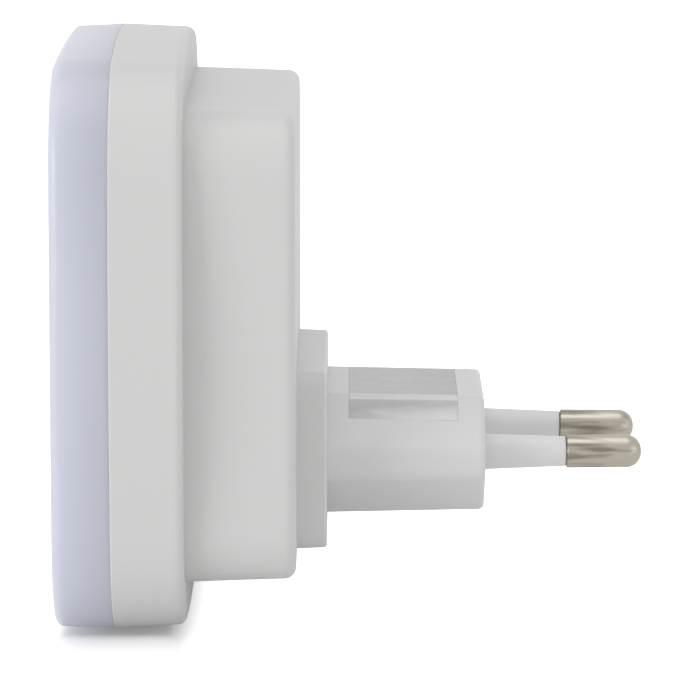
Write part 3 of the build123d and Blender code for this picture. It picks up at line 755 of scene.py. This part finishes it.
def led_grid_tree():
    """Packages on a grid of places: a frame with a cup, and the domed gel in it."""
    tree, given, result = add_group(
        "led_grid",
        [("Size", "Vector"), ("Cup Size", "Vector"), ("Dome", "Float"), ("Count", "Int"),
         ("Pitch X", "Float"), ("Pitch Z", "Float"), ("Centre", "Vector"),
         ("Frame Finish", "Material"), ("Gel Finish", "Material")],
        [("Packages", "Geometry")], "GeometryNodeTree",
    )
    size = axes(tree, given["Size"])
    half = calc(tree, "MULTIPLY", size["Z"], 0.5)
    lifted = vector(tree, Z=half)
    block = add_node(tree, "GeometryNodeMeshCube", {"Size": given["Size"]})
    block = add_node(
        tree, "GeometryNodeTransform", {"Geometry": block.outputs["Mesh"], "Translation": lifted}
    )
    top = vector(tree, Z=size["Z"])
    cup = add_node(tree, "GeometryNodeMeshCube", {"Size": given["Cup Size"]})
    cup = add_node(
        tree, "GeometryNodeTransform", {"Geometry": cup.outputs["Mesh"], "Translation": top}
    )
    hollow = add_node(
        tree, "GeometryNodeMeshBoolean", {"Mesh 1": block.outputs[0], "Mesh 2": cup.outputs[0]},
        operation="DIFFERENCE", solver="EXACT",
    )
    framed = add_node(
        tree, "GeometryNodeSetMaterial",
        {"Geometry": hollow.outputs["Mesh"], "Material": given["Frame Finish"]},
    )
    # the cup's cutter is twice as deep as the cup. The gel fills the cup's lower half, and its
    # free face is raised in the middle by a parabola along either side
    cup_size = axes(tree, given["Cup Size"])
    fill = calc(tree, "MULTIPLY", cup_size["Z"], 0.25)
    gel_size = vector(tree, X=cup_size["X"], Y=cup_size["Y"], Z=fill)
    gel = add_node(
        tree, "GeometryNodeMeshCube",
        {"Size": gel_size, "Vertices X": 9, "Vertices Y": 7, "Vertices Z": 2},
    )
    spot = add_node(tree, "GeometryNodeInputPosition").outputs[0]
    share = add_node(
        tree, "ShaderNodeVectorMath", {0: spot, 1: given["Cup Size"]}, operation="DIVIDE"
    )
    share = axes(tree, share.outputs[0])
    rises = []
    for label in ("X", "Y"):
        square = calc(tree, "MULTIPLY", share[label], share[label])
        rises.append(calc(tree, "MULTIPLY_ADD", square, -4.0, 1.0))
    dome = calc(tree, "MULTIPLY", rises[0], rises[1])
    upper = calc(tree, "GREATER_THAN", share["Z"], 0.0)
    dome = calc(tree, "MULTIPLY", dome, upper)
    dome = calc(tree, "MULTIPLY", dome, given["Dome"])
    raised = vector(tree, Z=dome)
    gel = add_node(
        tree, "GeometryNodeSetPosition", {"Geometry": gel.outputs["Mesh"], "Offset": raised}
    )
    sunk = calc(tree, "MULTIPLY_ADD", cup_size["Z"], -0.375, size["Z"])
    floor_level = vector(tree, Z=sunk)
    gel = add_node(
        tree, "GeometryNodeTransform", {"Geometry": gel.outputs[0], "Translation": floor_level}
    )
    gel = add_node(
        tree, "GeometryNodeSetMaterial",
        {"Geometry": gel.outputs[0], "Material": given["Gel Finish"]},
    )
    package = add_node(
        tree, "GeometryNodeJoinGeometry", {"Geometry": [framed.outputs[0], gel.outputs[0]]}
    )
    grid = add_node(
        tree, "GeometryNodeMeshGrid",
        {"Size X": given["Pitch X"], "Size Y": given["Pitch Z"], "Vertices X": given["Count"],
         "Vertices Y": given["Count"]},
    )
    placed = add_node(
        tree, "GeometryNodeInstanceOnPoints",
        {"Points": grid.outputs["Mesh"], "Instance": package.outputs[0]},
    )
    stood = add_node(
        tree, "GeometryNodeTransform",
        {"Geometry": placed.outputs[0], "Translation": given["Centre"],
         "Rotation": (math.radians(90), 0.0, 0.0)},
    )
    whole = add_node(tree, "GeometryNodeRealizeInstances", {"Geometry": stood.outputs[0]})
    feed(result, Packages=whole.outputs[0])
    return tree


low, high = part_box("leds")
packages = made_by(
    led_grid_tree(), "led_packages", [(0.0, 0.0)], Size=led_size,
    Cup_Size=(led_size[0] - 2 * led_rim, led_size[1] - 2 * led_rim, 2 * led_cup_depth),
    Dome=led_dome, Count=led_count, Pitch_X=high.x - low.x - led_size[0],
    Pitch_Z=high.z - low.z - led_size[1],
    Centre=((low.x + high.x) / 2, high.y, (low.z + high.z) / 2),
    Frame_Finish=led_frame, Gel_Finish=phosphor,
)
stand_for(packages, "led_package", "leds")


# ---- Reflector sheet ------------------------------------------------------------------
# Foamed white polyester sheet, die cut with a window for each diode. It lies on the board
# and is held by the board's screws.

reflector_film, _, _ = plastic(
    "foamed_white_sheet", colour=(0.80, 0.80, 0.79, 1.0), mottle=0.02, roughness=0.62, spread=0.06,
    grain_size=0.00012, grain_depth=0.000008, IOR=1.45,
)
dress(reflector_film, "reflector_sheet")


# ---- Dusk sensor ----------------------------------------------------------------------
# Light-dependent resistor in a black rubber tube that keeps the diodes' light off it. A
# comb of cadmium sulphide runs across the ceramic disc, and its two leads go to the board.


def tinned_lead_group():
    """Mixes the finish of a component's body with tinned copper where its leads are."""
    tree, given, result = add_group(
        "tinned_lead",
        [("Lead Mask", "Float"), ("Body Colour", "Color"), ("Body Roughness", "Float")],
        [("Colour", "Color"), ("Metallic", "Float"), ("Roughness", "Float")],
    )
    place = object_place(tree)
    stain = noise(tree, place, scale=2500.0, detail=3.0)
    tin = blend(tree, stain, lead_tin, lead_tin_stained)
    mixed = blend(tree, given["Lead Mask"], given["Body Colour"], tin)
    dull = remap(tree, stain, 0.0, 1.0, 0.2, 0.4)
    rough = add_node(
        tree, "ShaderNodeMix", {0: given["Lead Mask"], 2: given["Body Roughness"], 3: dull},
        data_type="FLOAT",
    )
    feed(result, Colour=mixed, Metallic=given["Lead Mask"], Roughness=rough.outputs[0])
    return tree


def component_material(name, mask_of, colour, mottle, roughness, grain_depth, **uniform):
    """A component's finish, with tinned leads where mask_of the tree gives a mask of 1."""
    material, tree, skin = plastic(
        name, colour=colour, mottle=mottle, roughness=roughness, spread=0.06, grain_size=0.0001,
        grain_depth=grain_depth, **uniform,
    )
    shader = tree.nodes["Principled BSDF"]
    place = object_place(tree)
    spot = axes(tree, place)
    leads = add_node(
        tree, "ShaderNodeGroup",
        {"Lead Mask": mask_of(tree, spot), "Body Colour": skin.outputs["Colour"],
         "Body Roughness": skin.outputs["Roughness"]},
        node_tree=tinned_lead,
    )
    feed(
        shader.inputs, Base_Color=leads.outputs["Colour"], Metallic=leads.outputs["Metallic"],
        Roughness=leads.outputs["Roughness"],
    )
    return material, tree, skin, spot


photocell_depth = 0.0021
photocell_glaze = (0.62, 0.58, 0.50, 1.0)
sulphide_red = (0.50, 0.13, 0.03, 1.0)
comb_pitch = 0.0009
comb_radius = 0.0021
comb_gap = -0.2
comb_film = 0.0001
lead_tin = (0.66, 0.65, 0.62, 1.0)
lead_tin_stained = (0.52, 0.51, 0.47, 1.0)

tinned_lead = tinned_lead_group()
shroud_rubber, _, _ = plastic(
    "black_rubber", colour=(0.020, 0.020, 0.021, 1.0), mottle=0.2, roughness=0.66, spread=0.12,
    grain_size=0.0002, grain_depth=0.000010, IOR=1.5,
)
dress(shroud_rubber, "photocell_shroud")

low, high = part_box("photocell")
cell_rear = low.y + photocell_depth + 0.00001


def behind_cell(tree, spot):
    """The photocell's leads, behind its disc."""
    return calc(tree, "GREATER_THAN", spot["Y"], cell_rear)


photocell_ceramic, tree, skin, spot = component_material(
    "glazed_photocell", behind_cell, colour=photocell_glaze, mottle=0.05, roughness=0.2,
    grain_depth=0.000002, IOR=1.5, Coat_Weight=0.6,
)
comb = calc(tree, "MULTIPLY", spot["Z"], math.tau / comb_pitch)
comb = calc(tree, "SINE", comb)
track = calc(tree, "GREATER_THAN", comb, comb_gap)
in_front = calc(tree, "LESS_THAN", spot["Y"], low.y + comb_film)
off_centre = calc(tree, "MULTIPLY", spot["X"], spot["X"])
drop = calc(tree, "SUBTRACT", spot["Z"], (low.z + high.z) / 2)
off_centre = calc(tree, "MULTIPLY_ADD", drop, drop, off_centre)
in_disc = calc(tree, "LESS_THAN", off_centre, comb_radius ** 2)
sensing = calc(tree, "MULTIPLY", track, in_front)
sensing = calc(tree, "MULTIPLY", sensing, in_disc)
tint = blend(tree, sensing, photocell_glaze, sulphide_red)
feed(skin.inputs, Colour=tint)
dress(photocell_ceramic, "photocell")


# ---- Capacitors -----------------------------------------------------------------------
# The mains dropper is a yellow epoxy-filled box. The smoothing capacitor is an aluminium
# can in a dark shrink sleeve, which leaves its scored end bare.

board_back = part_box("light_board")[1].y
can_sleeve_blue = (0.030, 0.036, 0.060, 1.0)
can_stripe_grey = (0.42, 0.44, 0.48, 1.0)
can_stripe_start = 0.0033
can_bare_radius = 0.0033
can_bare_depth = 0.0003


def board_lead(tree, spot):
    """The leads of a component, which go through the board."""
    return calc(tree, "LESS_THAN", spot["Y"], board_back)


yellow_case, _, _, _ = component_material(
    "yellow_case", board_lead, colour=(0.640, 0.420, 0.040, 1.0), mottle=0.06, roughness=0.32,
    grain_depth=0.000006, IOR=1.52,
)
dress(yellow_case, "film_capacitor")

can_low, can_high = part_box("smoothing_capacitor")
can_centre = (can_low + can_high) / 2


def bare_end_or_lead(tree, spot):
    """The can's leads, and the round of bare aluminium inside the sleeve's edge."""
    x = calc(tree, "SUBTRACT", spot["X"], can_centre.x)
    z = calc(tree, "SUBTRACT", spot["Z"], can_centre.z)
    square = calc(tree, "MULTIPLY", x, x)
    square = calc(tree, "MULTIPLY_ADD", z, z, square)
    at_end = calc(tree, "GREATER_THAN", spot["Y"], can_high.y - can_bare_depth)
    in_round = calc(tree, "LESS_THAN", square, can_bare_radius ** 2)
    bare_end = calc(tree, "MULTIPLY", at_end, in_round)
    return calc(tree, "MAXIMUM", board_lead(tree, spot), bare_end)


can_sleeve, tree, skin, spot = component_material(
    "can_sleeve", bare_end_or_lead, colour=can_sleeve_blue, mottle=0.1, roughness=0.28,
    grain_depth=0.000004, IOR=1.52,
)
in_stripe = calc(tree, "GREATER_THAN", spot["X"], can_centre.x + can_stripe_start)
sleeve_colour = blend(tree, in_stripe, can_sleeve_blue, can_stripe_grey)
feed(skin.inputs, Colour=sleeve_colour)
dress(can_sleeve, "smoothing_capacitor")


# ---- Rectifier, driver and transistor -------------------------------------------------
# Semiconductors in matte black cases, moulded round tinned leads. The rectifier's and the
# transistor's leads go through the board, and the driver's are soldered flat on it.

black_case, _, _, _ = component_material(
    "black_case", board_lead, colour=(0.022, 0.022, 0.023, 1.0), mottle=0.15, roughness=0.55,
    grain_depth=0.000008, IOR=1.55,
)
dress(black_case, "bridge_rectifier", "switch_transistor")

chip_low, chip_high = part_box("driver_chip")
chip_lead_reach = 0.001


def gull_wing(tree, spot):
    """The chip's leads, past its case above and below."""
    above = calc(tree, "GREATER_THAN", spot["Z"], chip_high.z - chip_lead_reach)
    below = calc(tree, "LESS_THAN", spot["Z"], chip_low.z + chip_lead_reach)
    return calc(tree, "MAXIMUM", above, below)


chip_case, _, _, _ = component_material(
    "chip_case", gull_wing, colour=(0.025, 0.025, 0.026, 1.0), mottle=0.1, roughness=0.48,
    grain_depth=0.000006, IOR=1.55,
)
dress(chip_case, "driver_chip")


# ---- Resistors ------------------------------------------------------------------------
# Wire-ended film resistors with painted bodies and colour bands: a flameproof fusible one
# in the live line, and a smaller one that discharges the dropper.

band_starts = (0.14, 0.30, 0.46, 0.78)
band_width = 0.08
gold_band = (0.45, 0.28, 0.06)
painted_bands = {
    "fusible_resistor": (
        0.0090, (0.30, 0.44, 0.42, 1.0),
        ((0.36, 0.10, 0.03), (0.01, 0.01, 0.01), (0.42, 0.26, 0.05), gold_band),
    ),
    "discharge_resistor": (
        0.0064, (0.55, 0.40, 0.24, 1.0),
        ((0.40, 0.16, 0.01), (0.40, 0.16, 0.01), (0.55, 0.45, 0.03), gold_band),
    ),
}
for name, (body_length, body_colour, bands) in painted_bands.items():
    low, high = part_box(name)
    middle = (low.x + high.x) / 2

    def wire_end(tree, spot):
        """The leads past either end of the painted body, and down through the board."""
        x = calc(tree, "SUBTRACT", spot["X"], middle)
        x = calc(tree, "ABSOLUTE", x)
        return calc(tree, "GREATER_THAN", x, body_length / 2 - 0.00002)

    paint, tree, skin, spot = component_material(
        name + "_paint", wire_end, colour=body_colour, mottle=0.06, roughness=0.34,
        grain_depth=0.000006, IOR=1.5, Coat_Weight=0.2,
    )
    along = remap(tree, spot["X"], middle - body_length / 2, middle + body_length / 2)
    ramp = add_node(tree, "ShaderNodeValToRGB", {0: along})
    ramp.color_ramp.interpolation = "CONSTANT"
    ramp.color_ramp.elements[0].color = body_colour
    ramp.color_ramp.elements[1].position = 0.999
    ramp.color_ramp.elements[1].color = body_colour
    for start, band in zip(band_starts, bands):
        ramp.color_ramp.elements.new(start).color = (*band, 1.0)
        ramp.color_ramp.elements.new(start + band_width).color = body_colour
    feed(skin.inputs, Colour=ramp.outputs[0])
    dress(paint, name)


# ---- Studio ---------------------------------------------------------------------------
# Seamless white table and backdrop, a soft light on the camera's left, a weaker one on its
# right, one overhead and an even white surround. The table glows away from the object, so
# only the contact shadow is left on it.

floor_half = 3.0
floor_z = cad_box[0].z
floor_mesh = bpy.data.meshes.new("floor")
floor_mesh.from_pydata(
    [(-floor_half, -floor_half, floor_z), (floor_half, -floor_half, floor_z),
     (floor_half, floor_half, floor_z), (-floor_half, floor_half, floor_z)],
    [], [(0, 1, 2, 3)],
)
floor = bpy.data.objects.new("floor", floor_mesh)
bpy.context.scene.collection.objects.link(floor)

# the table doesn't glow under the foot. The glow rises away from its sides and ends
foot_centre = (0.0, -0.0438)
foot_half = (0.0165, 0.0048)
side_reach = 0.0075
side_glow = 0.44
end_rise = 165.0
end_glow = 0.95
table_white = (0.94, 0.94, 0.94, 1.0)
table_white_seen = (0.92, 0.92, 0.92, 1.0)
table_lift_mirrored = 0.22
table_lift_seen = 0.17
surround_unseen = 0.68
surround_seen = 1.0


def seen_rays(tree):
    """1 for rays straight from the camera, and 1 for those and what it sees by the object."""
    path = add_node(tree, "ShaderNodeLightPath").outputs
    seen = calc(tree, "MAXIMUM", path["Is Camera Ray"], path["Is Glossy Ray"])
    return path["Is Camera Ray"], calc(tree, "MAXIMUM", seen, path["Is Transmission Ray"])


paper = bpy.data.materials.new("paper")
paper.use_nodes = True
tree = paper.node_tree
tree.nodes.clear()
place = object_place(tree)
spot = axes(tree, place)
outside = []
for label, centre, half in zip("XY", foot_centre, foot_half):
    off = calc(tree, "SUBTRACT", spot[label], centre)
    off = calc(tree, "ABSOLUTE", off)
    off = calc(tree, "SUBTRACT", off, half)
    outside.append(calc(tree, "MAXIMUM", off, 0.0))
sideways = remap(
    tree, outside[0], 0.0, side_reach, 0.0, side_glow, interpolation_type="SMOOTHSTEP"
)
endways = calc(tree, "MULTIPLY", outside[1], end_rise)
endways = calc(tree, "MINIMUM", endways, end_glow)
glow_level = calc(tree, "MAXIMUM", sideways, endways)
straight, seen = seen_rays(tree)
shade = blend(tree, seen, table_white, table_white_seen)
matte = add_node(tree, "ShaderNodeBsdfDiffuse", {"Color": shade})
lift = calc(tree, "MULTIPLY", straight, glow_level)
faint = remap(tree, straight, 0.0, 1.0, table_lift_mirrored, table_lift_seen)
faint = calc(tree, "MULTIPLY", seen, faint)
lift = calc(tree, "MAXIMUM", lift, faint)
glow = add_node(tree, "ShaderNodeEmission", {"Strength": lift})
both = add_node(tree, "ShaderNodeAddShader", {0: matte.outputs[0], 1: glow.outputs[0]})
add_node(tree, "ShaderNodeOutputMaterial", {"Surface": both.outputs[0]})
floor_mesh.materials.append(paper)

world = bpy.data.worlds.new("surround")
bpy.context.scene.world = world
world.use_nodes = True
tree = world.node_tree
tree.nodes.clear()
_, seen = seen_rays(tree)
level = remap(tree, seen, 0.0, 1.0, surround_unseen, surround_seen)
sky = add_node(tree, "ShaderNodeBackground", {"Color": (1.0, 1.0, 1.0, 1.0), "Strength": level})
add_node(tree, "ShaderNodeOutputWorld", {"Surface": sky.outputs[0]})


def soft_light(name, toward, distance, size, power):
    """A square softbox in a direction from the object, aimed at it."""
    data = bpy.data.lights.new(name, "AREA")
    data.size = size
    data.energy = power
    lamp = bpy.data.objects.new(name, data)
    direction = Vector(toward).normalized()
    lamp.location = direction * distance
    lamp.rotation_euler = direction.to_track_quat("Z", "Y").to_euler()
    bpy.context.scene.collection.objects.link(lamp)


soft_light("key_softbox", toward=(0.60, -0.80, 0.06), distance=1.3, size=0.70, power=8.2)
soft_light("rear_softbox", toward=(0.50, 0.85, 0.10), distance=1.3, size=1.0, power=2.4)
soft_light("top_softbox", toward=(0.05, -0.10, 1.0), distance=1.3, size=1.0, power=3.4)

sight = Vector((0.0, -0.01739, 0.01215))
camera_distance = 0.6136
camera_turn = math.radians(0.107)
camera_height = math.radians(8.99)
lens = bpy.data.cameras.new("camera")
lens.sensor_width = 36.0
lens.lens = 265.96
lens.clip_end = 20.0
camera = bpy.data.objects.new("camera", lens)
away = Vector((
    math.cos(camera_turn) * math.cos(camera_height),
    math.sin(camera_turn) * math.cos(camera_height),
    math.sin(camera_height),
))
camera.location = sight + away * camera_distance
camera.rotation_euler = away.to_track_quat("Z", "Y").to_euler()
bpy.context.scene.collection.objects.link(camera)
bpy.context.scene.camera = camera
bpy.context.scene.view_settings.view_transform = "Standard"
